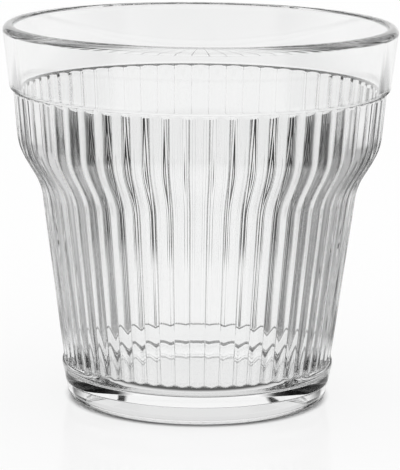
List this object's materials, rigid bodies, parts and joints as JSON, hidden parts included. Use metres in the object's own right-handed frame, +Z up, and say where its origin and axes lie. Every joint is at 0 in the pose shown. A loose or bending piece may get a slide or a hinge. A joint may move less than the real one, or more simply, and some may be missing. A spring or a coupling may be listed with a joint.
{
  "type": "drinking tumbler",
  "caption": "Clear plastic tumbler with a smooth rim band, a reeded wall that steps in at an S-shaped shoulder, and a beaded foot with a flat resting ring.",
  "frame": {"origin": "on the axis of the glass, at the level of the table it rests on", "axes": "+Z up along the axis of the glass, -Y towards the camera of the picture, with a reed crest facing -Y"},
  "size_m": [0.09, 0.09, 0.0867],
  "materials": {
    "clear_plastic": "clear, water-white, polished mould surface"
  },
  "bodies": {
    "root": {"rim_band": "clear_plastic", "reeded_wall": "clear_plastic", "foot_ring": "clear_plastic", "floor_disc": "clear_plastic"}
  },
  "joints": []
}
